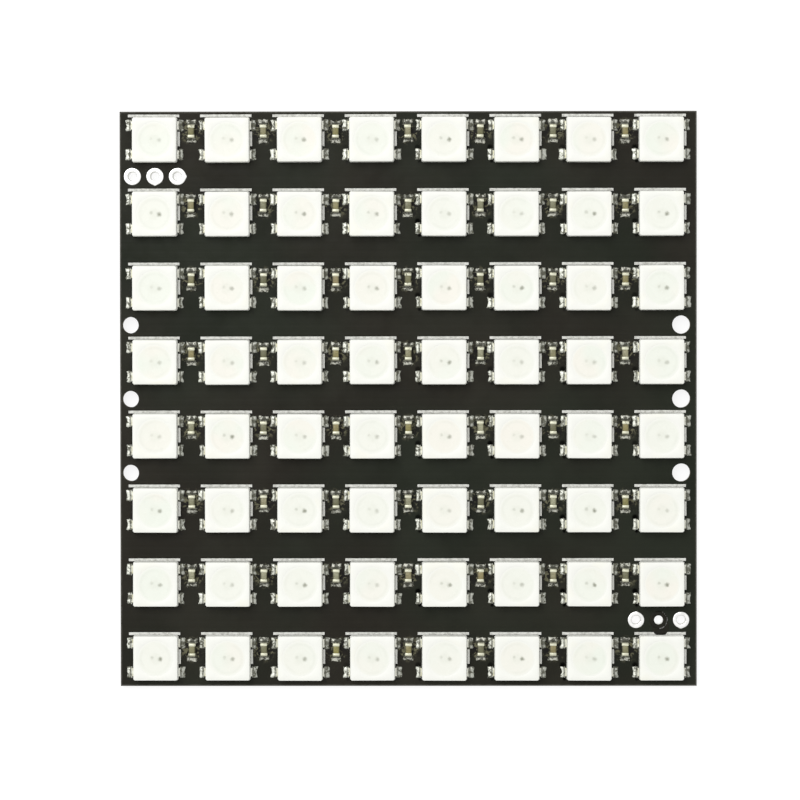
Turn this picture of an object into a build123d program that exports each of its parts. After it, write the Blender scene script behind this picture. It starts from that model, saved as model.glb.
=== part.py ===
"""A flat square light panel: 64 surface-mounted lamps in 8 rows of 8 on one dark circuit board.

The origin is the middle of the board's back face. The lamps face +Z, +X runs to the right along
a row and +Y runs up the panel. All sizes are in millimetres.
"""

from build123d import *
from math import radians, tan
import os

# Circuit board
board_width = 65.0
board_length = 64.8
board_thickness = 1.6

# Lamp grid, whose pitch follows from the board and these margins
columns = 8
rows = 8
side_margin = 1.425
end_margin = 0.65

# Lamp housing, which stands on its leads
housing_size = 5.1
housing_height = 1.4
housing_draft = 3.0
corner_cut = 0.15

# Window of the housing, and the milky fill in it. It repeats on every lamp, so its round outline
# is drawn with few sides.
window_wall = 0.55
window_depth = 0.9
window_draft = 14.0
window_sides = 8
fill_recess = 0.04

# Driver chip on the window's floor
chip_size = 0.62
chip_height = 0.12
chip_shift_x = 0.57
chip_shift_y = -0.05

# Leads, two on the left and two on the right of each housing
lead_width = 0.95
lead_thickness = 0.2
lead_length = 1.15
lead_reach = 0.2
lead_corner_gap = 0.435

# Capacitors, one between each two lamps of a row and a little above the row's centre line
capacitor_length = 1.54
capacitor_width = 0.78
capacitor_height = 0.78
capacitor_rise = 0.95
terminal_length = 0.4
ceramic_inset = 0.03

# Plain holes along the side edges, in the gaps between rows
edge_holes = 3
left_hole_diameter = 1.85
left_hole_web = 0.25
right_hole_diameter = 2.05
right_hole_web = 0.705

# Wire holes, three for the cable in and three for the cable out, each with a round solder pad
wire_holes = 3
wire_pitch = 2.54
wire_hole_diameter = 1.0
pad_height = 0.05
input_pad_diameter = 1.95
output_pad_diameter = 1.85
output_shift = 0.33
wire_row_rise = 0.07

# Places that follow from the sizes above
pitch_x = (board_width - 2 * side_margin - housing_size) / (columns - 1)
pitch_y = (board_length - 2 * end_margin - housing_size) / (rows - 1)
first_column_x = -pitch_x * (columns - 1) / 2
first_row_y = pitch_y * (rows - 1) / 2
input_row_y = first_row_y - pitch_y / 2 + wire_row_rise
output_row_y = -first_row_y + pitch_y / 2 + wire_row_rise
output_centre_x = -first_column_x - output_shift
window_diameter = housing_size - 2 * window_wall
left_hole_x = -board_width / 2 + left_hole_web + left_hole_diameter / 2
right_hole_x = board_width / 2 - right_hole_web - right_hole_diameter / 2
housing_bottom = board_thickness + lead_thickness
housing_top = housing_bottom + housing_height
window_floor = housing_top - window_depth
chip_top = window_floor + chip_height
fill_top = housing_top - fill_recess


def save(piece, name):
    """Label a finished piece and write its file."""
    piece.label = name
    export_step(piece, f"parts/{name}.step")


def along_row(piece, row, count):
    """Copies of a piece that stands at the origin, spread evenly along one row of the grid."""
    row_y = first_row_y - (row - 1) * pitch_y
    with BuildPart() as copies:
        with Locations((0, row_y, 0)):
            with GridLocations(pitch_x, pitch_y, count, 1):
                add(piece)
    return copies.part


def window_cast(bottom, top):
    """The window's tapered space between two heights above the board's back face."""
    narrowing = (housing_top - bottom) * tan(radians(window_draft))
    with BuildPart() as cast:
        with BuildSketch(Plane.XY.offset(bottom)):
            RegularPolygon(
                window_diameter / 2 - narrowing,
                window_sides,
                major_radius=False,
                rotation=180 / window_sides,
            )
        extrude(amount=top - bottom)
        walls = cast.faces().filter_by(Axis.Z, reverse=True)
        draft(walls, Plane.XY.offset(bottom), -window_draft)
    return cast.part


def solder_pads(centre_x, centre_y, pad_diameter):
    """The flat ring-shaped pads round one cable's wire holes, on the lamp side."""
    with BuildPart() as pads:
        with BuildSketch(Plane.XY.offset(board_thickness)):
            with Locations((centre_x, centre_y)):
                with GridLocations(wire_pitch, wire_pitch, wire_holes, 1):
                    Circle(pad_diameter / 2)
                    Circle(wire_hole_diameter / 2, mode=Mode.SUBTRACT)
        extrude(amount=pad_height)
    return pads.part


# Circuit board with its edge holes and its wire holes
with BuildPart() as circuit_board:
    with BuildSketch():
        Rectangle(board_width, board_length)
        with Locations((left_hole_x, 0)):
            with GridLocations(pitch_x, pitch_y, 1, edge_holes):
                Circle(left_hole_diameter / 2, mode=Mode.SUBTRACT)
        with Locations((right_hole_x, 0)):
            with GridLocations(pitch_x, pitch_y, 1, edge_holes):
                Circle(right_hole_diameter / 2, mode=Mode.SUBTRACT)
        with Locations((first_column_x, input_row_y), (output_centre_x, output_row_y)):
            with GridLocations(wire_pitch, wire_pitch, wire_holes, 1):
                Circle(wire_hole_diameter / 2, mode=Mode.SUBTRACT)
    extrude(amount=board_thickness)

# Moulded housing with drafted sides, cut corners and a tapered window
with BuildPart() as housing:
    with BuildSketch(Plane.XY.offset(housing_bottom)) as housing_outline:
        Rectangle(housing_size, housing_size)
        chamfer(housing_outline.vertices(), corner_cut)
    extrude(amount=housing_height, taper=housing_draft)
    add(window_cast(window_floor, housing_top), mode=Mode.SUBTRACT)

# Milky fill in the window, from the chip's top to just under the housing's face
with BuildPart() as fill:
    add(window_cast(chip_top, fill_top))

# Driver chip, off the window's centre
with BuildPart() as chip:
    with BuildSketch(Plane.XY.offset(window_floor)):
        with Locations((chip_shift_x, chip_shift_y)):
            Rectangle(chip_size, chip_size)
    extrude(amount=chip_height)

# The four leads of one lamp, which reach out a little beyond the housing
lead_centre_x = housing_size / 2 + lead_reach - lead_length / 2
lead_spacing = housing_size - 2 * lead_corner_gap - lead_width
with BuildPart() as leads:
    with BuildSketch(Plane.XY.offset(board_thickness)):
        with GridLocations(2 * lead_centre_x, lead_spacing, 2, 2):
            Rectangle(lead_length, lead_width)
    extrude(amount=lead_thickness)

# Capacitor's ceramic block, a little slimmer than its ends
ceramic_length = capacitor_length - 2 * terminal_length
with BuildPart() as ceramic:
    with BuildSketch(Plane.XY.offset(board_thickness + ceramic_inset)):
        with Locations((0, capacitor_rise)):
            Rectangle(capacitor_width - 2 * ceramic_inset, ceramic_length)
    extrude(amount=capacitor_height - 2 * ceramic_inset)

# Capacitor's two metal ends
with BuildPart() as terminals:
    with BuildSketch(Plane.XY.offset(board_thickness)):
        with Locations((0, capacitor_rise)):
            with GridLocations(capacitor_width, ceramic_length + terminal_length, 1, 2):
                Rectangle(capacitor_width, terminal_length)
    extrude(amount=capacitor_height)

# Pads of the cable in, upper left, and of the cable out, lower right
input_pads = solder_pads(first_column_x, input_row_y, input_pad_diameter)
output_pads = solder_pads(output_centre_x, output_row_y, output_pad_diameter)

os.makedirs("parts", exist_ok=True)
save(circuit_board.part, "circuit_board")
save(input_pads, "input_pads")
save(output_pads, "output_pads")
for row in range(1, rows + 1):
    save(along_row(housing.part, row, columns), f"lamp_housings_row_{row}")
    save(along_row(fill.part, row, columns), f"lamp_fills_row_{row}")
    save(along_row(chip.part, row, columns), f"driver_chips_row_{row}")
    save(along_row(leads.part, row, columns), f"lamp_leads_row_{row}")
    save(along_row(ceramic.part, row, columns - 1), f"capacitor_bodies_row_{row}")
    save(along_row(terminals.part, row, columns - 1), f"capacitor_ends_row_{row}")
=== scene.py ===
"""Looks of the square light panel: 64 surface-mounted lamps in 8 rows of 8 on a dark board.

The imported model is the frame. Sizes below are in millimetres and become metres when a piece or a
material is made. The lamps face +Z, +X runs right along a row and +Y runs up the panel.
"""

import math
import random

import bmesh
import bpy
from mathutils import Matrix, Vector, noise


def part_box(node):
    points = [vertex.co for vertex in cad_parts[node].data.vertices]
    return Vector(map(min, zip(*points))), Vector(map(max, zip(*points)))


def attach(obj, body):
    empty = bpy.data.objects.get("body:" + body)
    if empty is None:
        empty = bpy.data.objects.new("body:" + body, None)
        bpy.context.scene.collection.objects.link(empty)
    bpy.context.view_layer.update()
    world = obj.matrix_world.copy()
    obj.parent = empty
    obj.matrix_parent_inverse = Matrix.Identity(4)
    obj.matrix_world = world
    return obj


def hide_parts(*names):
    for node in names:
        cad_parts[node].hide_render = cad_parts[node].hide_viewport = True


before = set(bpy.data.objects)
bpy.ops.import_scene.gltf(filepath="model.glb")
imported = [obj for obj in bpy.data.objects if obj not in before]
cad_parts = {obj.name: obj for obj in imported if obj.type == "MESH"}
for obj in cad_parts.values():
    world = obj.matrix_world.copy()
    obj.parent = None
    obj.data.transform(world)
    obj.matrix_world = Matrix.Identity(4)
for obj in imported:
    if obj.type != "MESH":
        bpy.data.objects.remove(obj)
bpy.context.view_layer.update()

MM = 0.001
COLUMNS = 8
ROWS = 8

# Camera, as the photograph was taken: nearly straight above, with a long lens
CAMERA_PLACE = (5.03, 10.0, 540.0)
CAMERA_TURN = (-1.078, 0.633, -0.069)
CAMERA_LENS = 214.95
CAMERA_SENSOR = 36.0
CAMERA_NEAR = 10.0
CAMERA_FAR = 20000.0

# Light: a white room all round and one large soft lamp above the panel's upper left
ROOM_LIGHT = 0.64
KEY_PLACE = (-230.0, 290.0, 670.0)
KEY_WIDTH = 540.0
KEY_POWER = 2.85

# Floor: half its width, how far it lies below the panel, and its glow to the camera
FLOOR_HALF = 1500.0
FLOOR_DROP = 0.02
FLOOR_GLOW = 0.86

# Lamp housing and its window, whose softened rim is given as steps outwards and down
WALL_DRAFT = 3.0
CORNER_CUT = 0.15
EDGE_ROUND = 0.06
OUTLINE_STEPS = 9
WINDOW_RADIUS = 2.0
WINDOW_DEPTH = 0.9
WINDOW_DRAFT = 14.0
WINDOW_RIM = ((0.03, 0.0), (0.01, 0.008))
WINDOW_RIM_DEPTH = 0.04

# Milky fill: its brim from the window's radius, and its surface as steps inwards and up
FILL_SEGMENTS = 44
FILL_BRIM = (0.012, -0.03)
FILL_BRIM_DROP = 0.012
FILL_SURFACE = ((0.2, 0.023), (0.45, 0.011), (0.8, 0.003), (1.4, 0.0))

# Looks of the fill, from a lamp's centre: the cup's edge and wall, haze, and the chips' dots
CUP_RADIUS = 1.62
CUP_EDGE = 0.26
CUP_WALL = (1.72, 2.00)
HAZE_REACH = (0.3, 0.9)
DRIVER_DOT = (0.57, -0.05)
DRIVER_DOT_REACH = (0.02, 0.38)
SMALL_DOT = (-0.34, 0.13)
SMALL_DOT_REACH = (0.02, 0.28)
DOT_WARP = 0.3

# Leads, from a lamp's centre, and their toe as steps back from its end and the narrowing there
LEAD_SPACING = 3.28
LEAD_WIDTH = 0.95
LEAD_INNER = 1.55
LEAD_OUTER = 2.75
LEAD_SOFT = 0.035
LEAD_TOE = ((0.09, 0.0), (0.035, 0.012), (0.01, 0.03), (0.0, 0.06))

# Capacitors: their rise above the row's middle, and sizes from a capacitor's centre
CAPACITOR_RISE = 0.95
CAPACITOR_HALF = 0.77
CAPACITOR_WIDTH = 0.78
CAPACITOR_HEIGHT = 0.78
END_SOFT = 0.07
CERAMIC_HALF = 0.37
CERAMIC_INSET = 0.03
CERAMIC_SOFT = 0.03
CERAMIC_TUCK = 0.01
CERAMIC_FLANK = (0.20, 0.34)

# Solder joints, from their part's centre: start (under the part), reach, half width, rise, pinch
LEAD_JOINT = (LEAD_OUTER - 0.06, 3.29, 0.64, 0.19, 0.07)
CAPACITOR_JOINT = (CAPACITOR_HALF - 0.03, 1.32, 0.59, 0.34, 0.04)

# A joint's steps, and its unevenness: added to its reach, factor on its pinch, stray edges
JOINT_STEPS = 8
JOINT_REACHES = (-0.09, 0.07)
JOINT_PINCHES = (0.0, 2.2)
JOINT_WANDER = 0.11
JOINT_FLARE = 0.12

# Heights of a joint: at its outer edge, the least inside, its foot, its outer bead and its grain
JOINT_EDGE = 0.012
JOINT_LEAST = 0.008
JOINT_FOOT = 0.03
JOINT_BEAD = 0.07
JOINT_GRAIN = 0.035

# Painted shade on the solder: across it (start, middle, end) and in spots (place, radius)
LEAD_SHADE_BAND = (2.70, 2.84, 2.98)
LEAD_SHADE_HOLLOW = (3.02, LEAD_SPACING / 2, 0.31)
END_SHADE_BAND = (0.58, 0.74, 0.90)
CAPACITOR_SHADE_BAND = (0.70, 0.86, 1.08)
CAPACITOR_SHADE_HOLLOW = (0.02, 1.02, 0.28)

# Printed lines, from a lamp's centre, and where painted light brightens them: right of and below a
# place
PRINT_HEIGHT = 0.02
PRINT_RAGGED = 0.014
PRINT_GRAIN = 0.21
TOP_LINE = (-3.04, 2.75, 2.57, 2.87)
TOP_LINE_STEPS = 26
RIGHT_LINE = (2.56, 2.81, -0.70, 0.93)
RIGHT_LINE_STEPS = 10
PAINTED_LIGHT_PRINT = (2.4, 1.5)

# Wire holes and their pads. A pad's profile is given from its rim and from the hole, as steps
# inwards and down, and the share of the drip there. Drips are given as angle and size.
WIRE_PITCH = 2.54
WIRE_HOLE_RADIUS = 0.5
PAD_HEIGHT = 0.05
PAD_SEGMENTS = 56
PAD_OUTSIDE = ((0.0, PAD_HEIGHT, 1.0), (0.0, 0.03, 1.0), (0.035, 0.006, 0.9), (0.1, 0.0, 0.6))
PAD_INSIDE = ((-0.09, 0.0), (-0.03, 0.008), (0.0, 0.035), (0.0, PAD_HEIGHT))
DRIP_SPREAD = 0.17
INPUT_DRIPS = ((2.1, 0.0), (-1.57, 0.1), (0.0, 0.1))
OUTPUT_DRIPS = ((1.5, 0.06), (0.0, 0.0), (-1.6, 0.08))

# Looks round the wire holes: painted shade at the rim, tin on the back, and heights where a pad
# brightens
WIRE_RIM_SHADE = (0.50, 0.74)
BACK_TIN_RADIUS = 0.92
BACK_TIN_DROP = 0.01
TIN_RISE = (0.030, 0.046)

# Blot of black ink over the middle pad of the cable out: a round lobe below the hole
BLOT_RADIUS = 1.03
BLOT_LOBE = (0.22, -0.78, 1.0)
BLOT_THICKNESS = 0.012
BLOT_START = WIRE_HOLE_RADIUS + 0.01
BLOT_UNDERSIDE = 0.001
BLOT_WANDER = 0.035
BLOT_SEGMENTS = 72
BLOT_STEPS = 12

# How the blot steps down off the pad and up on the print: where, and over what distance
PAD_STEP = (0.03, 0.02)
PRINT_STEP = (-1.33, 0.012)

# Flecks of tin on the pad's rim: angles in degrees, places outside the rim, sizes, and rings as
# share of the size and height over the board
FLECK_COUNT = 11
FLECK_SIDES = 9
FLECK_FIRST = -78
FLECK_ANGLE = 13.5
FLECK_STRAY = 4
FLECK_OFFSETS = (0.02, 0.07)
FLECK_SIZES = (0.035, 0.075)
FLECK_RINGS = ((1.0, 0.020), (0.85, 0.046), (0.4, 0.052))

# Reach of the brown flux round a capacitor, partly painted contact shadow, from its centre
FLUX_AND_SHADE_REACH = (0.7, 1.7)
# Reach of the painted shade along a lamp's sides, from the lamp's centre
FOOT_SHADE_REACH = (2.72, 3.00)

# Painted black shadow by a lamp's lower left lead, as place and radius, and where on X it sets in
SHADOW_POOLS = ((-3.00, -0.84, 0.44), (-2.80, -2.42, 0.26))
SHADOW_SET_IN = (-10.0, -2.0)

# Board's finish: worn edge, the mask's thickness, and the tracks that show as relief
WORN_EDGE = (0.12, 0.26)
MASK_THICKNESS = 0.04
TRACK_PITCH = 0.42
TRACK_FLANK = (0.12, 0.20)
TRACKS_END = (1.1, 1.2)

# How unevenly the parts were placed, in millimetres and degrees
PLACE_SHIFT = 0.025
PLACE_TURN = 0.25
CAPACITOR_SHIFT = 0.03
CAPACITOR_TURN = 1.5

# Angles in degrees above which an edge stays sharp
CRISP = 38.0
SOFT = 60.0
SOFTEST = 80.0


def node_box(node):
    """Lowest and highest corner of a node of the frame, in millimetres."""
    low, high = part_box(node)
    return low / MM, high / MM


# Places that follow from the frame
board_high = node_box("circuit_board")[1]
housing_low, housing_high = node_box("lamp_housings_row_1")
fill_low, fill_high = node_box("lamp_fills_row_1")
last_high = node_box("lamp_housings_row_8")[1]
input_low, input_high = node_box("input_pads")
output_low, output_high = node_box("output_pads")
BOARD_TOP = board_high.z
HOUSING_HALF = (housing_high.y - housing_low.y) / 2
HOUSING_BOTTOM = housing_low.z
HOUSING_TOP = housing_high.z
FILL_TOP = fill_high.z
FILL_BOTTOM = fill_low.z
PITCH_X = (housing_high.x - housing_low.x - 2 * HOUSING_HALF) / (COLUMNS - 1)
PITCH_Y = (housing_high.y - last_high.y) / (ROWS - 1)
FIRST_X = housing_low.x + HOUSING_HALF
FIRST_Y = housing_high.y - HOUSING_HALF
INPUT_CENTRE = (input_low + input_high) / 2
OUTPUT_CENTRE = (output_low + output_high) / 2
INPUT_RADIUS = (input_high.y - input_low.y) / 2
OUTPUT_RADIUS = (output_high.y - output_low.y) / 2


# Mesh code


class Form:
    """Points and faces of one piece, gathered form by form."""

    def __init__(self):
        self.points = []
        self.faces = []

    def add(self, points, faces):
        start = len(self.points)
        self.points.extend(points)
        self.faces.extend([start + index for index in face] for face in faces)

    def skin(self, rings, hoop=False):
        """A closed skin over rings of points, each with the same count.

        It is capped at both ends, or as a hoop returns from the last ring to the first.
        """
        count = len(rings[0])
        points = [point for ring in rings for point in ring]
        faces = [] if hoop else [list(range(count))[::-1]]
        for level in range(len(rings) if hoop else len(rings) - 1):
            low = level * count
            high = (level + 1) % len(rings) * count
            for i in range(count):
                j = (i + 1) % count
                faces.append([low + i, low + j, high + j, high + i])
        if not hoop:
            faces.append([len(points) - count + i for i in range(count)])
        self.add(points, faces)

    def patch(self, grid, base):
        """A raised patch from a grid of points, closed down to a flat underside at base."""
        rows = len(grid)
        columns = len(grid[0])
        points = [point for line in grid for point in line]
        faces = []
        for r in range(rows - 1):
            for c in range(columns - 1):
                a = r * columns + c
                faces.append([a, a + 1, a + columns + 1, a + columns])
        first = len(points)
        rim = list(range(columns))
        rim += [(r + 1) * columns - 1 for r in range(1, rows)]
        rim += [first - columns + c for c in range(columns - 2, -1, -1)]
        rim += [r * columns for r in range(rows - 2, 0, -1)]
        points += [(points[i][0], points[i][1], base) for i in rim]
        count = len(rim)
        for i in range(count):
            j = (i + 1) % count
            faces.append([rim[j], rim[i], first + i, first + j])
        faces.append([first + i for i in range(count)][::-1])
        self.add(points, faces)


def put(name, data):
    """A new object in the scene."""
    thing = bpy.data.objects.new(name, data)
    bpy.context.scene.collection.objects.link(thing)
    return thing


def make_piece(name, form, material, nodes=(), sharp=CRISP):
    """Makes one piece, which rides on the panel and may stand for nodes of the frame."""
    mesh = bpy.data.meshes.new(name)
    mesh.from_pydata([Vector(point) * MM for point in form.points], [], form.faces)
    skin = bmesh.new()
    skin.from_mesh(mesh)
    bmesh.ops.recalc_face_normals(skin, faces=skin.faces)
    skin.to_mesh(mesh)
    skin.free()
    for face in mesh.polygons:
        face.use_smooth = True
    mesh.set_sharp_from_angle(angle=math.radians(sharp))
    mesh.materials.append(material)
    piece = put(name, mesh)
    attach(piece, "root")
    if nodes:
        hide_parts(*nodes)


def placed(points, place):
    """Points turned and moved to a part's place (x, y, turn in radians)."""
    x, y, turn = place
    cosine = math.cos(turn)
    sine = math.sin(turn)
    return [
        (x + px * cosine - py * sine, y + px * sine + py * cosine, pz) for px, py, pz in points
    ]


def turns(count):
    """Angles spread evenly round a full turn."""
    return [2 * math.pi * i / count for i in range(count)]


def point_at(reach, angle, z, centre=(0.0, 0.0)):
    """The point at a reach and an angle from a centre."""
    return (centre[0] + reach * math.cos(angle), centre[1] + reach * math.sin(angle), z)


def circle(radius, z, segments):
    """Points round a circle."""
    return [point_at(radius, a, z) for a in turns(segments)]


def cut_square(half, z):
    """Points round a square with cut corners, anticlockwise."""
    reach = half - CORNER_CUT
    side = [(half, -reach + 2 * reach * i / OUTLINE_STEPS) for i in range(OUTLINE_STEPS + 1)]
    side.append((half - CORNER_CUT / 2, half - CORNER_CUT / 2))
    points = []
    for cosine, sine in ((1, 0), (0, 1), (-1, 0), (0, -1)):
        points += [(x * cosine - y * sine, x * sine + y * cosine, z) for x, y in side]
    return points


def like(points, radius, z):
    """Points of a circle in the directions of the given points."""
    return [point_at(radius, math.atan2(y, x), z) for x, y, _ in points]


def waver(x, y, seed, size):
    """A smooth irregular value between about -1 and 1."""
    return noise.noise(Vector((x / size, y / size, seed * 7.31)))


# Places


def uneven_places(seed, first_x, first_y, columns, shift, turn):
    """Places by row and column from the first one, a little uneven as a machine leaves them."""
    chance = random.Random(seed)
    places = []
    for row in range(ROWS):
        line = []
        for column in range(columns):
            x = first_x + PITCH_X * column + chance.uniform(-shift, shift)
            y = first_y - PITCH_Y * row + chance.uniform(-shift, shift)
            line.append((x, y, math.radians(chance.uniform(-turn, turn))))
        places.append(line)
    return places


def lamp_places():
    """Each lamp's place, by row."""
    return uneven_places(64, FIRST_X, FIRST_Y, COLUMNS, PLACE_SHIFT, PLACE_TURN)


def capacitor_places():
    """Each capacitor's place, by row, midway between two lamps."""
    x = FIRST_X + PITCH_X / 2
    y = FIRST_Y + CAPACITOR_RISE
    return uneven_places(56, x, y, COLUMNS - 1, CAPACITOR_SHIFT, CAPACITOR_TURN)


# Forms


def wall_half(z):
    """Half width of the drafted housing at a height."""
    return HOUSING_HALF - (z - HOUSING_BOTTOM) * math.tan(math.radians(WALL_DRAFT))


def window_radius(z):
    """Radius of the tapered window at a height."""
    return WINDOW_RADIUS - (HOUSING_TOP - z) * math.tan(math.radians(WINDOW_DRAFT))


def housing(form, place):
    """Moulded housing: drafted sides, cut corners, softened edges and a round tapered window."""
    top = HOUSING_TOP
    outline = [
        cut_square(wall_half(HOUSING_BOTTOM), HOUSING_BOTTOM),
        cut_square(wall_half(top - EDGE_ROUND), top - EDGE_ROUND),
        cut_square(wall_half(top) - EDGE_ROUND * 0.3, top - EDGE_ROUND * 0.3),
        cut_square(wall_half(top) - EDGE_ROUND, top),
    ]
    window = [like(outline[0], WINDOW_RADIUS + out, top - down) for out, down in WINDOW_RIM]
    for depth in (WINDOW_RIM_DEPTH, WINDOW_DEPTH):
        window.append(like(outline[0], window_radius(top - depth), top - depth))
    form.skin([placed(ring, place) for ring in outline + window])


def fill(form, place):
    """Milky fill, which climbs the window's wall a little at its rim and dips in the middle."""
    levels = [(window_radius(FILL_BOTTOM), FILL_BOTTOM)]
    levels += [(WINDOW_RADIUS + out, HOUSING_TOP - FILL_BRIM_DROP) for out in FILL_BRIM]
    levels += [(WINDOW_RADIUS - inset, FILL_TOP + rise) for inset, rise in FILL_SURFACE]
    rings = [circle(radius, z, FILL_SEGMENTS) for radius, z in levels]
    form.skin([placed(ring, place) for ring in rings])


def lead(form, place, side, across):
    """One flat lead under the housing, with a rounded toe."""
    stations = [(LEAD_INNER, 0.0)]
    stations += [(LEAD_OUTER - back, shrink) for back, shrink in LEAD_TOE]
    soft = LEAD_SOFT
    rings = []
    for reach, shrink in stations:
        w = LEAD_WIDTH / 2 - shrink
        z0 = BOARD_TOP + shrink * 0.3
        z1 = HOUSING_BOTTOM - shrink
        section = [
            (-w + soft, z0), (w - soft, z0), (w, z0 + soft), (w, z1 - soft),
            (w - soft, z1), (-w + soft, z1), (-w, z1 - soft), (-w, z0 + soft),
        ]
        rings.append([(side * reach, across + y, z) for y, z in section])
    form.skin([placed(ring, place) for ring in rings])


def joint_height(u, v, rise, seed):
    """Height of a solder joint at a share u of its reach and v of its half width."""
    slope = JOINT_FOOT + rise * (1 - u) ** 2.1 * (1 - 0.55 * abs(v) ** 3)
    bead = JOINT_BEAD * math.exp(-(((u - 0.66) / 0.2) ** 2)) * (0.35 + 0.65 * v * v)
    grain = JOINT_GRAIN * waver(u, v, seed + 5, 0.33) * (1 - u**6)
    return max(slope + bead + grain, JOINT_LEAST)


def solder(form, place, outward, seed, joint):
    """A fillet of solder that falls from its part to the edge of the pad, never quite even."""
    start, outer, half, rise, pinch = joint
    chance = random.Random(seed)
    outer += chance.uniform(*JOINT_REACHES)
    pinch *= chance.uniform(*JOINT_PINCHES)
    direction = Vector(outward)
    sideways = Vector((-direction.y, direction.x))
    grid = []
    for r in range(JOINT_STEPS + 1):
        u = r / JOINT_STEPS
        line = []
        for c in range(JOINT_STEPS + 1):
            v = 2 * c / JOINT_STEPS - 1
            edge = outer - pinch * (1 - v * v) ** 2 + JOINT_WANDER * waver(v, 0, seed, 0.55)
            reach = start + (edge - start) * u
            flare = 1 + JOINT_FLARE * waver(u * 2, v, seed + 3, 0.6)
            spot = direction * reach + sideways * (half * v * flare * (1 - 0.08 * u**4))
            at_edge = r == JOINT_STEPS or c in (0, JOINT_STEPS)
            height = JOINT_EDGE if at_edge else joint_height(u, v, rise, seed)
            line.append((spot.x, spot.y, BOARD_TOP + height))
        grid.append(line)
    form.patch([placed(line, place) for line in grid], BOARD_TOP)


def box_along(form, place, ends, half_width, low, high, soft):
    """A block with softened edges that runs along Y between two ends."""
    start, stop = ends
    middle = (low + high) / 2
    levels = [(start, soft), (start + soft * 0.4, soft * 0.3), (start + soft, 0.0)]
    levels += [(stop - soft, 0.0), (stop - soft * 0.4, soft * 0.3), (stop, soft)]
    rings = []
    for y, shrink in levels:
        width = half_width - shrink - soft
        tall = (high - low) / 2 - shrink - soft
        ring = []
        for number, (sx, sz) in enumerate([(1, -1), (1, 1), (-1, 1), (-1, -1)]):
            for step in range(3):
                turn = math.radians(-90 + 90 * number + 45 * step)
                x = sx * width + soft * math.cos(turn)
                z = middle + sz * tall + soft * math.sin(turn)
                ring.append((x, y, z))
        rings.append(ring)
    form.skin([placed(ring, place) for ring in rings])


def strip(form, ends, sides, steps, seed, along_x):
    """A printed line between two ends, with slightly ragged sides, along X or along Y."""
    start, stop = ends
    near, far = sides
    lines = []
    for number, across in enumerate((near, (near + far) / 2, far)):
        inside = number == 1
        z = BOARD_TOP + PRINT_HEIGHT * (1.0 if inside else 0.8)
        line = []
        for c in range(steps + 1):
            along = start + (stop - start) * (c / steps)
            stray = 0.0 if inside else PRINT_RAGGED * waver(along, number, seed, PRINT_GRAIN)
            line.append((along, across + stray, z) if along_x else (across + stray, along, z))
        lines.append(line)
    form.patch(lines, BOARD_TOP)


def pad_ring(form, centre, radius, bump_turn, bump):
    """A tinned pad round one wire hole, with softened edges and a small drip on its rim."""
    top = BOARD_TOP + PAD_HEIGHT

    def ring(reach, z, stretch):
        points = []
        for a in turns(PAD_SEGMENTS):
            away = (a - bump_turn + math.pi) % (2 * math.pi) - math.pi
            r = reach + stretch * bump * math.exp(-((away / DRIP_SPREAD) ** 2))
            points.append(point_at(r, a, z, centre))
        return points

    rings = [ring(radius - inset, top - drop, share) for inset, drop, share in PAD_OUTSIDE]
    rings += [ring(WIRE_HOLE_RADIUS - inset, top - drop, 0.0) for inset, drop in PAD_INSIDE]
    form.skin(rings, hoop=True)


def blot_edge(a):
    """The blot's reach from the hole's centre in one direction."""
    lobe_x, lobe_y, lobe_radius = BLOT_LOBE
    away = math.hypot(lobe_x, lobe_y)
    turn = a - math.atan2(lobe_y, lobe_x)
    reach = BLOT_RADIUS
    inside = lobe_radius**2 - (away * math.sin(turn)) ** 2
    if inside > 0 and math.cos(turn) > 0:
        reach = max(reach, away * math.cos(turn) + math.sqrt(inside))
    return reach * (1 + BLOT_WANDER * waver(math.cos(a) * 2, math.sin(a) * 2, 9, 0.6))


def blot_height(x, y, share):
    """The blot's height at a place from the hole's centre and a share of its reach there."""
    pad_end = math.hypot(x, y) - OUTPUT_RADIUS - PAD_STEP[0]
    over_pad = 1 / (1 + math.exp(pad_end / PAD_STEP[1]))
    over_print = 1 / (1 + math.exp((y - PRINT_STEP[0]) / PRINT_STEP[1]))
    base = BOARD_TOP + max(PAD_HEIGHT * over_pad, PRINT_HEIGHT * over_print)
    return base + BLOT_THICKNESS * (1 - share**8)


def blot(form, centre):
    """A blot of ink that covers a pad and runs down over the printed line below it."""
    rings = []
    for k in range(BLOT_STEPS + 1):
        share = k / BLOT_STEPS
        ring = []
        for a in turns(BLOT_SEGMENTS):
            r = BLOT_START + (blot_edge(a) - BLOT_START) * share
            x = r * math.cos(a)
            y = r * math.sin(a)
            ring.append((centre.x + x, centre.y + y, blot_height(x, y, share)))
        rings.append(ring)
    under = []
    for ring in (rings[-1], rings[0]):
        under.append([(x, y, BOARD_TOP + BLOT_UNDERSIDE) for x, y, _ in ring])
    form.skin(rings + under, hoop=True)


def flecks(form, centre):
    """Flecks of tin on the rim of the inked pad, where the ink is thin."""
    chance = random.Random(5)
    for number in range(FLECK_COUNT):
        stray = chance.uniform(-FLECK_STRAY, FLECK_STRAY)
        a = math.radians(FLECK_FIRST + FLECK_ANGLE * number + stray)
        spot = point_at(OUTPUT_RADIUS + chance.uniform(*FLECK_OFFSETS), a, 0.0, centre)
        size = chance.uniform(*FLECK_SIZES)
        rings = []
        for share, rise in FLECK_RINGS:
            ring = []
            for i, turn in enumerate(turns(FLECK_SIDES)):
                reach = size * share * (1.5 * abs(math.sin(turn - a)) + 0.6)
                reach *= 1 + 0.2 * waver(i, number, 4, 1.7)
                ring.append(point_at(reach, turn, BOARD_TOP + rise, spot))
            rings.append(ring)
        form.skin(rings)


# Materials


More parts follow.
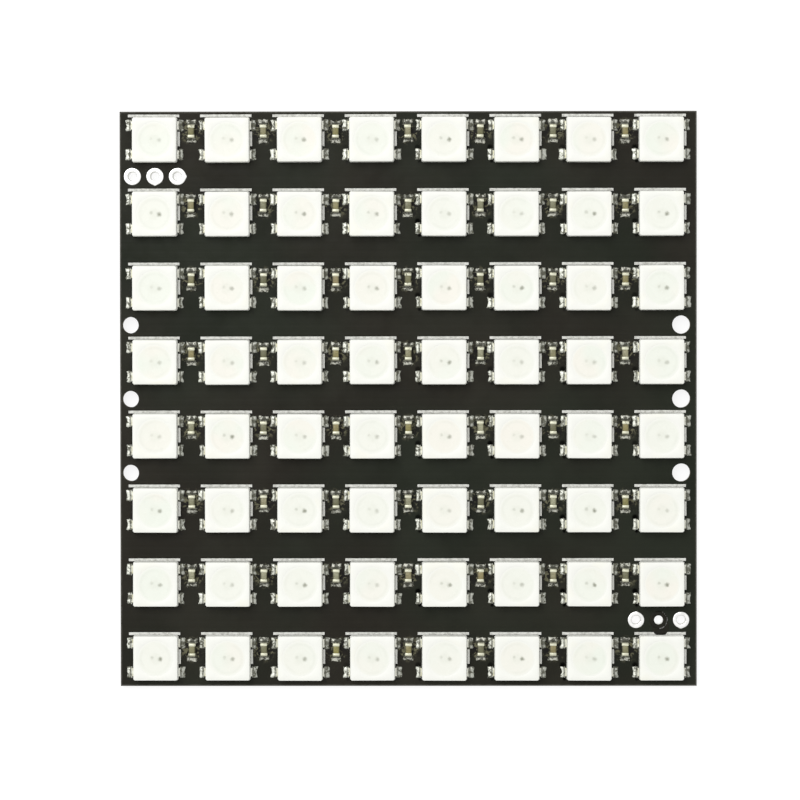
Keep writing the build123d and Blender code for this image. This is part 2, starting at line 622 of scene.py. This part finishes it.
class Nodes:
    """A node tree in the making."""

    def __init__(self, tree):
        self.tree = tree
        tree.nodes.clear()

    def add(self, kind, feeds=None, **settings):
        """A new node, its sockets fed by number or name."""
        node = self.tree.nodes.new(kind)
        for key, value in settings.items():
            setattr(node, key, value)
        for socket, value in (feeds or {}).items():
            self.feed(node.inputs[socket], value)
        return node

    def feed(self, socket, value):
        """Sets a socket to a number or colour, or links it to another node's output."""
        if isinstance(value, bpy.types.NodeSocket):
            self.tree.links.new(value, socket)
        elif isinstance(value, (tuple, list)) and len(value) == 3 and socket.type == "RGBA":
            socket.default_value = (*value, 1.0)
        else:
            socket.default_value = value

    def math(self, operation, *values, clamp=False):
        """The result of a sum, by the name of its operation."""
        feeds = dict(enumerate(values))
        return self.add("ShaderNodeMath", feeds, operation=operation, use_clamp=clamp).outputs[0]

    def times(self, *values):
        """The product of two or more values."""
        product = values[0]
        for value in values[1:]:
            product = self.math("MULTIPLY", product, value)
        return product

    def size(self, value):
        """A value without its sign."""
        return self.math("ABSOLUTE", value)


class Shade(Nodes):
    """One node material in the making. Lengths in it are in metres, as the object's are."""

    def __init__(self, name):
        self.material = bpy.data.materials.new(name)
        self.material.use_nodes = True
        super().__init__(self.material.node_tree)
        self.shader = self.add("ShaderNodeBsdfPrincipled")
        self.output = self.add("ShaderNodeOutputMaterial", {"Surface": self.shader.outputs[0]})
        self.place = self.add("ShaderNodeTexCoord").outputs["Object"]
        self.axes = self.add("ShaderNodeSeparateXYZ", {0: self.place}).outputs

    def set(self, **values):
        """Sets the shader's own sockets by name, with _ for a space."""
        for key, value in values.items():
            self.feed(self.shader.inputs[key.replace("_", " ")], value)

    def noise(self, size, detail, roughness=0.5, distortion=0.0, stretch=(1, 1, 1)):
        """Smooth noise whose features are about the given size in millimetres."""
        place = self.place
        if stretch != (1, 1, 1):
            place = self.add("ShaderNodeMapping", {"Vector": place, "Scale": stretch}).outputs[0]
        return self.add("ShaderNodeTexNoise", {
            "Vector": place, "Scale": 1 / (size * MM), "Detail": detail,
            "Roughness": roughness, "Distortion": distortion,
        }).outputs[0]

    def cells(self, size):
        """Distance in a pattern of cells of the given size in millimetres."""
        feeds = {"Vector": self.place, "Scale": 1 / (size * MM)}
        return self.add("ShaderNodeTexVoronoi", feeds).outputs[0]

    def span(self, value, low, high, to_low=0.0, to_high=1.0):
        """Maps a value from low..high to another range, eased and clamped."""
        feeds = dict(enumerate((value, low, high, to_low, to_high)))
        return self.add("ShaderNodeMapRange", feeds, interpolation_type="SMOOTHSTEP").outputs[0]

    def rise(self, length, near, far, most=1.0):
        """Rises from 0 to most as a length goes from near to far, both in millimetres."""
        return self.span(length, near * MM, far * MM, 0.0, most)

    def fall(self, length, near, far, most=1.0):
        """Falls from most to 0 as a length goes from near to far, both in millimetres."""
        return self.span(length, near * MM, far * MM, most, 0.0)

    def rough(self, size, detail, low, high):
        """Roughness that drifts between two values."""
        self.set(Roughness=self.span(self.noise(size, detail), 0.3, 0.7, low, high))

    def mix(self, factor, first, second):
        """A colour between two others."""
        feeds = {0: factor, 6: first, 7: second}
        return self.add("ShaderNodeMix", feeds, data_type="RGBA").outputs[2]

    def bump(self, height, depth, strength):
        """Relief from a height between 0 and 1, whose full depth is in millimetres."""
        feeds = {"Strength": strength, "Distance": depth * MM, "Height": height}
        self.set(Normal=self.add("ShaderNodeBump", feeds).outputs[0])

    def grid_place(self, shift_x=0.0, shift_y=0.0):
        """Place in metres from the nearest of the points that repeat at the lamps' pitch.

        One of these points is at the shift, given in millimetres.
        """
        values = []
        for letter, pitch, shift in (("X", PITCH_X, shift_x), ("Y", PITCH_Y, shift_y)):
            moved = self.math("SUBTRACT", self.axes[letter], shift * MM)
            values.append(self.math("WRAP", moved, pitch / 2 * MM, -pitch / 2 * MM))
        return values

    def cell_chance(self, seed, shift=0.0):
        """A value from 0 to 1 that is the same all over a lamp's cell, and new in the next.

        shift moves the cells along X by a share of their pitch.
        """
        column = self.math("ADD", self.math("DIVIDE", self.axes["X"], PITCH_X * MM), shift)
        row = self.math("DIVIDE", self.axes["Y"], PITCH_Y * MM)
        feeds = {0: self.math("FLOOR", column), 1: self.math("FLOOR", row), 2: seed}
        cell = self.add("ShaderNodeCombineXYZ", feeds).outputs[0]
        return self.add("ShaderNodeTexWhiteNoise", {0: cell}, noise_dimensions="3D").outputs[0]

    def distance(self, x, y, centre=(0.0, 0.0)):
        """Distance in the board's plane from a centre given in millimetres."""
        dx = self.math("SUBTRACT", x, centre[0] * MM)
        dy = self.math("SUBTRACT", y, centre[1] * MM)
        squares = self.math("MULTIPLY_ADD", dx, dx, self.math("MULTIPLY", dy, dy))
        return self.math("SQRT", squares)


def lamp_shift(shade):
    """Place from the nearest lamp's centre: they lie half a pitch off the origin."""
    return shade.grid_place(PITCH_X / 2, PITCH_Y / 2)


def wire_reach(shade):
    """Distance in metres from the nearest wire hole's centre."""
    reaches = []
    for centre in (INPUT_CENTRE, OUTPUT_CENTRE):
        along = shade.math("SUBTRACT", shade.axes["X"], centre.x * MM)
        nearest = shade.math("ROUND", shade.math("DIVIDE", along, WIRE_PITCH * MM))
        nearest = shade.math("MINIMUM", shade.math("MAXIMUM", nearest, -1.0), 1.0)
        dx = shade.math("SUBTRACT", along, shade.times(nearest, WIRE_PITCH * MM))
        dy = shade.math("SUBTRACT", shade.axes["Y"], centre.y * MM)
        reaches.append(shade.distance(dx, dy))
    return shade.math("MINIMUM", *reaches)


def painted_rim_shade(shade):
    """A soft ring of painted shade round each wire hole, broken up by noise."""
    shade_band = shade.fall(wire_reach(shade), *WIRE_RIM_SHADE)
    return shade.times(shade_band, shade.span(shade.noise(0.9, 2.0), 0.38, 0.6))


def mask_colour(shade):
    """Black solder mask that drifts between a brown and a green cast."""
    cloud = shade.span(shade.noise(9.0, 4.0, 0.55), 0.38, 0.62)
    tint = shade.span(shade.noise(22.0, 2.0), 0.35, 0.65)
    dark = shade.mix(tint, (0.0080, 0.0062, 0.0022), (0.0048, 0.0074, 0.0018))
    light = shade.mix(tint, (0.0134, 0.0116, 0.0062), (0.0094, 0.0124, 0.0056))
    return shade.mix(cloud, dark, light)


def with_capacitor_flux_and_shade(shade, mask, upper):
    """Brown flux round each capacitor, partly painted contact shadow, with pale crusts of flux."""
    u, v = shade.grid_place(0.0, PITCH_Y / 2 + CAPACITOR_RISE)
    near = shade.fall(shade.distance(u, v), *FLUX_AND_SHADE_REACH)
    last_capacitor = PITCH_X * (COLUMNS - 1) / 2
    inner = shade.math("LESS_THAN", shade.size(shade.axes["X"]), last_capacitor * MM)
    near = shade.times(near, inner, upper)
    stain_and_shade = shade.span(shade.noise(0.7, 3.0), 0.35, 0.6)
    mask = shade.mix(shade.times(near, stain_and_shade), mask, (0.0026, 0.0016, 0.0006))
    crust = shade.span(shade.noise(0.45, 3.0, 0.6, 0.7), 0.52, 0.60, 0.0, 0.85)
    return shade.mix(shade.times(near, crust), mask, (0.190, 0.182, 0.112))


def with_painted_foot_shade(shade, mask, upper):
    """Painted shade along the left and right feet of the housings."""
    u, v = lamp_shift(shade)
    aside = shade.size(u)
    shade_reach = shade.span(shade.noise(0.6, 2.0), 0.35, 0.65, *(reach * MM for reach in FOOT_SHADE_REACH))
    beside = shade.math("GREATER_THAN", aside, shade.size(v))
    painted_foot_shade = shade.times(shade.math("LESS_THAN", aside, shade_reach), beside, upper)
    return shade.mix(shade.times(painted_foot_shade, 0.35), mask, (0.003, 0.0026, 0.0012))


def painted_shadow_pools(shade, upper):
    """How much painted black shadow lies beside the lower left leads, on the panel's right part.
    """
    u, v = lamp_shift(shade)
    shadow_spots = []
    for x, y, radius in SHADOW_POOLS:
        shadow_spots.append(shade.fall(shade.distance(u, v, (x, y)), radius * 0.4, radius))
    amount = shade.span(shade.cell_chance(8.0), 0.0, 1.0, 0.5, 1.0)
    rightward = shade.rise(shade.axes["X"], *SHADOW_SET_IN)
    return shade.times(shade.math("MAXIMUM", *shadow_spots), upper, rightward, amount)


def with_worn_edge(shade, mask):
    """Mask worn back to pale laminate along the sawn edges."""
    inset_x = shade.math("SUBTRACT", board_high.x * MM, shade.size(shade.axes["X"]))
    inset_y = shade.math("SUBTRACT", board_high.y * MM, shade.size(shade.axes["Y"]))
    inset = shade.math("MINIMUM", inset_x, inset_y)
    ragged = shade.math("MULTIPLY_ADD", shade.noise(0.5, 3.0), WORN_EDGE[0] * MM, inset)
    return shade.mix(shade.fall(ragged, *WORN_EDGE), mask, (0.088, 0.085, 0.072))


def laminate_colour(shade):
    """Laminate in layers between two skins of mask, as the cut sides show it."""
    layers = shade.noise(0.5, 3.0, stretch=(1, 1, 6))
    laminate = shade.mix(layers, (0.060, 0.048, 0.022), (0.155, 0.125, 0.062))
    half = BOARD_TOP / 2
    off_middle = shade.size(shade.math("SUBTRACT", shade.axes["Z"], half * MM))
    skin = shade.math("GREATER_THAN", off_middle, (half - MASK_THICKNESS) * MM)
    return shade.mix(skin, laminate, (0.014, 0.014, 0.010))


def cut_side(shade):
    """1 on the board's upright sides and in its holes, 0 on its faces."""
    normal = shade.add("ShaderNodeNewGeometry").outputs["True Normal"]
    upward = shade.add("ShaderNodeSeparateXYZ", {0: normal}).outputs["Z"]
    return shade.math("LESS_THAN", shade.size(upward), 0.5)


def track_relief(shade):
    """Tracks under the mask between the rows, and the mask's own fine grain."""
    _, gap = shade.grid_place()
    track = shade.rise(shade.math("PINGPONG", gap, TRACK_PITCH * MM), *TRACK_FLANK)
    tracks = shade.times(track, shade.fall(shade.size(gap), *TRACKS_END))
    return shade.math("MULTIPLY_ADD", shade.noise(0.12, 2.0), 0.25, tracks)


def board_material():
    """Board: mask with flux, painted shade, worn edges, cut laminate, and tin in the wire holes.
    """
    shade = Shade("board_mask_look")
    z = shade.axes["Z"]
    upper = shade.math("GREATER_THAN", z, BOARD_TOP * 0.9 * MM)
    side = cut_side(shade)
    shadow_spots = painted_shadow_pools(shade, upper)
    # Brown flux round the capacitors, partly painted contact shadow
    mask = with_capacitor_flux_and_shade(shade, mask_colour(shade), upper)
    # Painted shade along the housings' left and right feet
    mask = with_painted_foot_shade(shade, mask, upper)
    # Painted black shadow beside the lower left leads
    mask = shade.mix(shadow_spots, mask, (0.0006, 0.0006, 0.0003))
    mask = with_worn_edge(shade, mask)
    colour = shade.mix(side, mask, laminate_colour(shade))

    # Tin in the wire holes and round them on the back
    round_hole = shade.math("LESS_THAN", wire_reach(shade), BACK_TIN_RADIUS * MM)
    below_top = shade.math("LESS_THAN", z, (BOARD_TOP - BACK_TIN_DROP) * MM)
    tin = shade.times(round_hole, below_top)
    tin_colour = shade.mix(shade.noise(0.25, 3.0), (0.72, 0.72, 0.68), (0.90, 0.90, 0.86))
    shade.set(Base_Color=shade.mix(tin, colour, tin_colour), Metallic=tin)

    rough = shade.span(shade.noise(1.4, 4.0), 0.3, 0.7, 0.40, 0.52)
    rough = shade.math("MAXIMUM", rough, shade.times(side, 0.75))
    smooth_tin = shade.math("MULTIPLY_ADD", tin, -0.5, 1.0)
    shade.set(Roughness=shade.math("MINIMUM", rough, smooth_tin))
    # Less gloss in the painted shadow beside the lower left leads
    shade.set(Specular_IOR_Level=shade.math("MULTIPLY_ADD", shadow_spots, -0.14, 0.16))
    shade.bump(track_relief(shade), 0.006, 0.5)
    return shade.material


def housing_material():
    """White moulded plastic: a hint of warmth, fine mould grain and soft gloss."""
    shade = Shade("housing_white_look")
    drift = shade.noise(1.6, 3.0)
    white = shade.mix(drift, (0.920, 0.930, 0.865), (0.945, 0.950, 0.895))
    white = shade.mix(shade.times(shade.cell_chance(2.0), 0.5), white, (0.935, 0.932, 0.885))
    cast = shade.span(shade.noise(3.4, 2.0), 0.5, 0.72, 0.0, 0.7)
    white = shade.mix(cast, white, (0.945, 0.940, 0.840))
    specks = shade.span(shade.cells(0.55), 0.05, 0.09, 1.0, 0.0)
    rare = shade.times(specks, shade.span(shade.noise(2.5, 1.0), 0.62, 0.7), 0.3)
    shade.set(Base_Color=shade.mix(rare, white, (0.55, 0.55, 0.48)), Specular_IOR_Level=0.35)
    shade.rough(0.4, 3.0, 0.38, 0.5)
    shade.bump(shade.noise(0.07, 2.0), 0.004, 0.4)
    return shade.material


def milk_colour(shade, haze, reach):
    """Milky gel, tinted lamp by lamp, with a faint edge of the cup and a haze in the middle."""
    milk = shade.mix(haze, (0.896, 0.908, 0.824), (0.914, 0.926, 0.846))
    cast = shade.span(shade.noise(5.5, 1.0), 0.40, 0.60)
    tint = shade.mix(cast, (0.876, 0.914, 0.822), (0.932, 0.906, 0.820))
    milk = shade.mix(shade.cell_chance(11.0), milk, tint)
    off_edge = shade.size(shade.math("SUBTRACT", reach, CUP_RADIUS * MM))
    arc = shade.span(shade.noise(2.6, 0.0), 0.42, 0.60)
    ring = shade.times(shade.fall(off_edge, 0.0, CUP_EDGE), arc, 0.24)
    milk = shade.mix(ring, milk, (0.76, 0.78, 0.71))
    milk = shade.mix(shade.rise(reach, *CUP_WALL), milk, (0.925, 0.932, 0.870))
    return shade.mix(shade.fall(reach, *HAZE_REACH, 0.35), milk, (0.79, 0.81, 0.71))


def fill_material():
    """Milky gel with two chips that show through as soft dots."""
    shade = Shade("milky_fill_look")
    u, v = lamp_shift(shade)
    haze = shade.noise(1.1, 3.0)
    milk = milk_colour(shade, haze, shade.distance(u, v))
    strength = shade.span(shade.cell_chance(5.0), 0.0, 1.0, 0.42, 1.0)
    warp = shade.times(shade.math("SUBTRACT", shade.noise(0.3, 2.0), 0.5), DOT_WARP * MM)
    large = shade.math("ADD", shade.distance(u, v, DRIVER_DOT), warp)
    small = shade.math("ADD", shade.distance(u, v, SMALL_DOT), warp)
    dot = shade.times(shade.fall(large, *DRIVER_DOT_REACH), strength)
    speck = shade.times(shade.fall(small, *SMALL_DOT_REACH), strength, 0.5)
    milk = shade.mix(dot, milk, (0.31, 0.32, 0.25))
    shade.set(Base_Color=shade.mix(speck, milk, (0.45, 0.47, 0.39)))
    shade.set(Roughness=shade.span(haze, 0.3, 0.7, 0.22, 0.34), Specular_IOR_Level=0.35)
    shade.bump(shade.noise(0.9, 1.0), 0.003, 0.4)
    return shade.material


def chip_material():
    """Dark silicon with a fine grid of cells."""
    shade = Shade("die_dark_look")
    cells = shade.span(shade.cells(0.06), 0.2, 0.6)
    shade.set(Base_Color=shade.mix(cells, (0.030, 0.035, 0.040), (0.075, 0.085, 0.090)))
    shade.rough(0.1, 2.0, 0.2, 0.4)
    return shade.material


def solder_material(name, size, dark_share, bright, dull, shade_band=None, before=1.0, shade_hollow=None):
    """Solder and tin: bright metal broken by dull patches of flux.

    shade_band is painted shade where the solder meets its part: the axis that it lies on, the
    centre of one of the parts, and its start, middle and end from there. before is painted light:
    how bright the metal is on the negative side of that centre. shade_hollow is a spot of painted
    shade, as place from it and radius.
    """
    shade = Shade(name)
    wander = shade.noise(size, 3.0, 0.6, 0.9)
    patches = shade.span(wander, dark_share - 0.07, dark_share + 0.07)
    metal = shade.mix(shade.noise(3.0, 2.0), bright, tuple(value * 0.86 for value in bright))
    # Painted shade where the solder meets its part, and painted light on one side of that part
    if shade_band:
        axis, centre, start, middle, end = shade_band
        place = shade.grid_place(*centre)
        reach = shade.size(place[axis])
        painted_foot_shade = shade.times(shade.rise(reach, start, middle), shade.fall(reach, middle, end))
        patches = shade.math("MULTIPLY_ADD", painted_foot_shade, -0.8, patches, clamp=True)
        painted_light_side = shade.math("LESS_THAN", place[axis], 0.0)
        metal = shade.mix(painted_light_side, metal, tuple(value * before for value in bright))
    # A spot of painted shade in the joint
    if shade_hollow:
        x, y, radius = shade_hollow
        hollow_shade = shade.fall(shade.distance(*place, (x, y)), radius * 0.5, radius, 0.8)
        patches = shade.math("SUBTRACT", patches, hollow_shade, clamp=True)
    shade.set(Base_Color=shade.mix(patches, dull, metal))
    shade.set(Metallic=shade.span(patches, 0.0, 1.0, 0.1, 0.55))
    shade.rough(0.2, 3.0, 0.34, 0.55)
    shade.bump(shade.noise(0.16, 3.0), 0.016, 0.5)
    return shade.material


def lead_solder_material():
    """Lead solder: painted light left of a lamp, painted shade at the upper right and inner part.
    """
    return solder_material(
        "lead_solder_look", 0.42, 0.46, (0.50, 0.51, 0.455), (0.100, 0.100, 0.070),
        (0, (PITCH_X / 2, PITCH_Y / 2), *LEAD_SHADE_BAND), before=1.42, shade_hollow=LEAD_SHADE_HOLLOW,
    )


def end_cap_material():
    """Tinned capacitor ends: painted light on the upper one, painted shade on each one's outer
    part.
    """
    return solder_material(
        "end_cap_metal_look", 0.7, 0.32, (0.74, 0.74, 0.575), (0.22, 0.215, 0.145),
        (1, (0.0, PITCH_Y / 2 + CAPACITOR_RISE), *END_SHADE_BAND), before=0.81,
    )


def capacitor_solder_material():
    """Capacitor solder, darker than the leads', with painted shade by the ends and in the upper
    joint.
    """
    return solder_material(
        "capacitor_solder_look", 0.30, 0.48, (0.56, 0.56, 0.49), (0.046, 0.046, 0.030),
        (1, (0.0, PITCH_Y / 2 + CAPACITOR_RISE), *CAPACITOR_SHADE_BAND), before=1.08,
        shade_hollow=CAPACITOR_SHADE_HOLLOW,
    )


def fleck_material():
    """Tin that shows dimly through thin ink."""
    return solder_material("fleck_look", 0.2, 0.45, (0.17, 0.17, 0.16), (0.04, 0.04, 0.036))


def lead_material():
    """Tinned copper strip, a little yellow where the tin is thin, with painted light right of the
    lamp.
    """
    shade = Shade("lead_metal_look")
    wear = shade.span(shade.noise(0.45, 3.0), 0.35, 0.65)
    streak = shade.noise(0.12, 3.0, stretch=(1, 5, 1))
    tin = shade.mix(streak, (0.62, 0.62, 0.52), (0.78, 0.78, 0.68))
    tin = shade.mix(wear, (0.52, 0.50, 0.34), tin)
    # Painted light on the leads right of the lamp's centre
    right = shade.math("GREATER_THAN", lamp_shift(shade)[0], 0.0)
    tin = shade.mix(shade.times(right, 0.6), tin, (0.95, 0.95, 0.88))
    shade.set(Base_Color=tin, Metallic=0.45)
    shade.set(Roughness=shade.span(streak, 0.3, 0.7, 0.30, 0.48))
    shade.bump(streak, 0.006, 0.5)
    return shade.material


def ceramic_material():
    """Tan to olive ceramic, each block a little different, with a fine grain and dark flanks."""
    shade = Shade("ceramic_tan_look")
    pick = shade.cell_chance(1.0, 0.5)
    plain = shade.mix(pick, (0.118, 0.115, 0.058), (0.375, 0.372, 0.250))
    hue = shade.mix(pick, (0.300, 0.274, 0.074), (0.270, 0.204, 0.095))
    chance = shade.span(shade.cell_chance(3.0, 0.5), 0.35, 0.9, 0.0, 0.85)
    base = shade.mix(chance, plain, hue)
    grain = shade.span(shade.noise(0.22, 3.0, stretch=(1, 2.5, 1)), 0.4, 0.65)
    base = shade.mix(shade.times(grain, 0.45), base, (0.090, 0.085, 0.030))
    across, _ = shade.grid_place()
    flank = shade.rise(shade.size(across), *CERAMIC_FLANK, 0.85)
    shade.set(Base_Color=shade.mix(flank, base, (0.060, 0.055, 0.024)))
    shade.rough(0.3, 2.0, 0.45, 0.6)
    shade.bump(shade.noise(0.08, 2.0), 0.005, 0.5)
    return shade.material


def print_material():
    """White board print, thin in places so that the mask greys it; painted light on the right
    line.
    """
    shade = Shade("board_print_look")
    thin = shade.span(shade.noise(0.35, 4.0, 0.6), 0.30, 0.62)
    ink = shade.mix(thin, (0.50, 0.50, 0.46), (0.77, 0.77, 0.73))
    u, v = lamp_shift(shade)
    # Painted light on the line right of the lamp, where the housing shades it
    beside = shade.math("GREATER_THAN", u, PAINTED_LIGHT_PRINT[0] * MM)
    lower = shade.math("LESS_THAN", v, PAINTED_LIGHT_PRINT[1] * MM)
    ink = shade.mix(shade.times(beside, lower, 0.8), ink, (0.94, 0.94, 0.89))
    shade.set(Base_Color=ink)
    shade.rough(0.2, 2.0, 0.55, 0.7)
    shade.bump(shade.noise(0.08, 3.0), 0.006, 0.5)
    return shade.material


def pad_material():
    """Bright tin round the wire holes, with painted shade where it dips to the hole's rim."""
    shade = Shade("solder_metal_look")
    swirl = shade.span(shade.noise(0.5, 3.0, 0.5, 0.4), 0.3, 0.7)
    tin = shade.mix(swirl, (0.82, 0.82, 0.80), (0.90, 0.90, 0.88))
    # Painted shade round the hole's rim
    tin = shade.mix(painted_rim_shade(shade), tin, (0.70, 0.70, 0.68))
    full = shade.rise(shade.axes["Z"], *(BOARD_TOP + height for height in TIN_RISE))
    shade.set(Base_Color=shade.mix(full, (0.72, 0.72, 0.70), tin), Metallic=1.0)
    shade.set(Roughness=shade.span(swirl, 0.0, 1.0, 0.20, 0.30))
    shade.bump(shade.noise(0.3, 3.0), 0.006, 0.4)
    return shade.material


def blot_material():
    """Black marker ink, glossy where it lies thick."""
    shade = Shade("black_ink_look")
    pool = shade.span(shade.noise(0.5, 3.0), 0.35, 0.65)
    shade.set(Base_Color=shade.mix(pool, (0.0070, 0.0064, 0.0030), (0.0120, 0.0110, 0.0058)))
    shade.set(Roughness=shade.span(pool, 0.0, 1.0, 0.45, 0.6), Specular_IOR_Level=0.15)
    shade.bump(pool, 0.006, 0.4)
    return shade.material


# Pieces


def dress_frame(materials):
    """Better materials for the nodes of the frame that stay."""
    for node, material in materials.items():
        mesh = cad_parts[node].data
        mesh.materials.clear()
        mesh.materials.append(material)


def add_lamps(lamps):
    """Housings, fills, leads and lead solder, row by row."""
    white = housing_material()
    milk = fill_material()
    tin = lead_material()
    joint = lead_solder_material()
    for row, line in enumerate(lamps, start=1):
        housings, fills, leads, joints = [Form() for _ in range(4)]
        for column, place in enumerate(line):
            housing(housings, place)
            fill(fills, place)
            for side in (-1, 1):
                for end in (-1, 1):
                    across = end * LEAD_SPACING / 2
                    lead(leads, place, side, across)
                    x, y, _ = placed([(0.0, across, 0.0)], place)[0]
                    seed = row * 80 + column * 8 + side + 2 * end
                    solder(joints, (x, y, place[2]), (side, 0.0), seed, LEAD_JOINT)
        make_piece(f"housings_{row}", housings, white, [f"lamp_housings_row_{row}"])
        make_piece(f"fills_{row}", fills, milk, [f"lamp_fills_row_{row}"], SOFT)
        make_piece(f"leads_{row}", leads, tin, [f"lamp_leads_row_{row}"])
        make_piece(f"lead_joints_{row}", joints, joint, sharp=SOFTEST)


def add_capacitors(places):
    """Ceramic blocks, their metal ends and their solder, row by row."""
    tan = ceramic_material()
    end_look = end_cap_material()
    joint = capacitor_solder_material()
    low = BOARD_TOP
    high = BOARD_TOP + CAPACITOR_HEIGHT
    half = CAPACITOR_WIDTH / 2
    block_end = CERAMIC_HALF + CERAMIC_TUCK
    for row, line in enumerate(places, start=1):
        blocks, ends, joints = [Form() for _ in range(3)]
        for column, place in enumerate(line):
            box_along(
                blocks, place, (-block_end, block_end), half - CERAMIC_INSET,
                low + CERAMIC_INSET, high - CERAMIC_INSET, CERAMIC_SOFT,
            )
            for side in (-1, 1):
                span = sorted((side * CERAMIC_HALF, side * CAPACITOR_HALF))
                box_along(ends, place, span, half, low, high, END_SOFT)
                seed = 500 + row * 16 + column * 2 + side
                solder(joints, place, (0.0, side), seed, CAPACITOR_JOINT)
        make_piece(f"ceramic_{row}", blocks, tan, [f"capacitor_bodies_row_{row}"])
        make_piece(f"end_caps_{row}", ends, end_look, [f"capacitor_ends_row_{row}"])
        make_piece(f"capacitor_joints_{row}", joints, joint, sharp=SOFTEST)


def add_print():
    """White lines printed above and to the right of each lamp."""
    lines = Form()
    for row in range(ROWS):
        for column in range(COLUMNS):
            x = FIRST_X + PITCH_X * column
            y = FIRST_Y - PITCH_Y * row
            seed = row * 8 + column
            x0, x1, y0, y1 = TOP_LINE
            strip(lines, (x + x0, x + x1), (y + y0, y + y1), TOP_LINE_STEPS, seed, True)
            x0, x1, y0, y1 = RIGHT_LINE
            strip(lines, (y + y0, y + y1), (x + x0, x + x1), RIGHT_LINE_STEPS, seed + 90, False)
    make_piece("board_print", lines, print_material())


def add_pads():
    """The tinned pads of both cables."""
    tin = pad_material()
    sets = (
        ("input_pads", INPUT_CENTRE, INPUT_RADIUS, INPUT_DRIPS),
        ("output_pads", OUTPUT_CENTRE, OUTPUT_RADIUS, OUTPUT_DRIPS),
    )
    for node, centre, radius, drips in sets:
        form = Form()
        for number, (turn, drip) in enumerate(drips):
            spot = Vector((centre.x + (number - 1) * WIRE_PITCH, centre.y, 0.0))
            pad_ring(form, spot, radius, turn, drip)
        make_piece(f"tinned_{node}", form, tin, [node], SOFT)


def add_blot():
    """The blot of ink over the middle pad of the cable out, and the tin at its rim."""
    ink = Form()
    blot(ink, OUTPUT_CENTRE)
    make_piece("ink_blot", ink, blot_material(), sharp=SOFTEST)
    rim = Form()
    flecks(rim, OUTPUT_CENTRE)
    make_piece("tin_flecks", rim, fleck_material(), sharp=SOFT)


# Room


def seen_directly(nodes):
    """1 for the rays that look at a surface or the room, 0 for the light that falls from it."""
    rays = nodes.add("ShaderNodeLightPath").outputs
    total = nodes.math("ADD", rays["Is Camera Ray"], rays["Is Glossy Ray"])
    return nodes.math("ADD", total, rays["Is Transmission Ray"], clamp=True)


def floor_material():
    """White to the light that falls on it, and a dim white with its own glow where it is seen."""
    shade = Shade("floor_look")
    seen = seen_directly(shade)
    lit = shade.add("ShaderNodeBsdfDiffuse", {"Color": (0.86, 0.86, 0.85)}).outputs[0]
    dim = shade.add("ShaderNodeBsdfDiffuse", {"Color": (0.25, 0.25, 0.25)}).outputs[0]
    pick = shade.add("ShaderNodeMixShader", {0: seen, 1: lit, 2: dim}).outputs[0]
    glow = shade.add("ShaderNodeEmission", {"Strength": shade.times(seen, FLOOR_GLOW)}).outputs[0]
    total = shade.add("ShaderNodeAddShader", {0: pick, 1: glow}).outputs[0]
    shade.feed(shade.output.inputs["Surface"], total)
    return shade.material


def make_floor():
    """A plain white floor, which shows bright to the camera and keeps a soft shadow."""
    mesh = bpy.data.meshes.new("floor")
    half = FLOOR_HALF * MM
    corners = [(-half, -half), (half, -half), (half, half), (-half, half)]
    mesh.from_pydata([(x, y, -FLOOR_DROP * MM) for x, y in corners], [], [(0, 1, 2, 3)])
    mesh.materials.append(floor_material())
    floor = put("floor", mesh)


def make_room():
    """A white room, seen at full white, that lights more softly than it looks."""
    world = bpy.data.worlds.new("room")
    bpy.context.scene.world = world
    world.use_nodes = True
    nodes = Nodes(world.node_tree)
    feeds = {"Value": seen_directly(nodes), "To Min": ROOM_LIGHT, "To Max": 1.0}
    level = nodes.add("ShaderNodeMapRange", feeds).outputs[0]
    feeds = {"Color": (1.0, 1.0, 1.0), "Strength": level}
    background = nodes.add("ShaderNodeBackground", feeds).outputs[0]
    nodes.add("ShaderNodeOutputWorld", {"Surface": background})


def make_key():
    """One large soft lamp, aimed at the panel's middle."""
    lamp = bpy.data.lights.new("key", "AREA")
    lamp.shape = "DISK"
    lamp.size = KEY_WIDTH * MM
    lamp.energy = KEY_POWER
    key = put("key", lamp)
    key.location = Vector(KEY_PLACE) * MM
    key.rotation_mode = "QUATERNION"
    key.rotation_quaternion = (-Vector(KEY_PLACE)).to_track_quat("-Z", "Y")


def make_camera():
    """The photograph's view: almost straight down on the panel."""
    data = bpy.data.cameras.new("camera")
    data.sensor_width = CAMERA_SENSOR
    data.lens = CAMERA_LENS
    data.clip_start = CAMERA_NEAR * MM
    data.clip_end = CAMERA_FAR * MM
    camera = put("camera", data)
    camera.location = Vector(CAMERA_PLACE) * MM
    camera.rotation_euler = [math.radians(angle) for angle in CAMERA_TURN]
    bpy.context.scene.camera = camera


def build():
    """The whole scene."""
    bpy.context.scene.view_settings.view_transform = "Standard"
    make_camera()
    make_room()
    make_key()
    make_floor()
    chips = chip_material()
    looks = {f"driver_chips_row_{row}": chips for row in range(1, ROWS + 1)}
    looks["circuit_board"] = board_material()
    dress_frame(looks)
    add_lamps(lamp_places())
    add_capacitors(capacitor_places())
    add_print()
    add_pads()
    add_blot()


build()
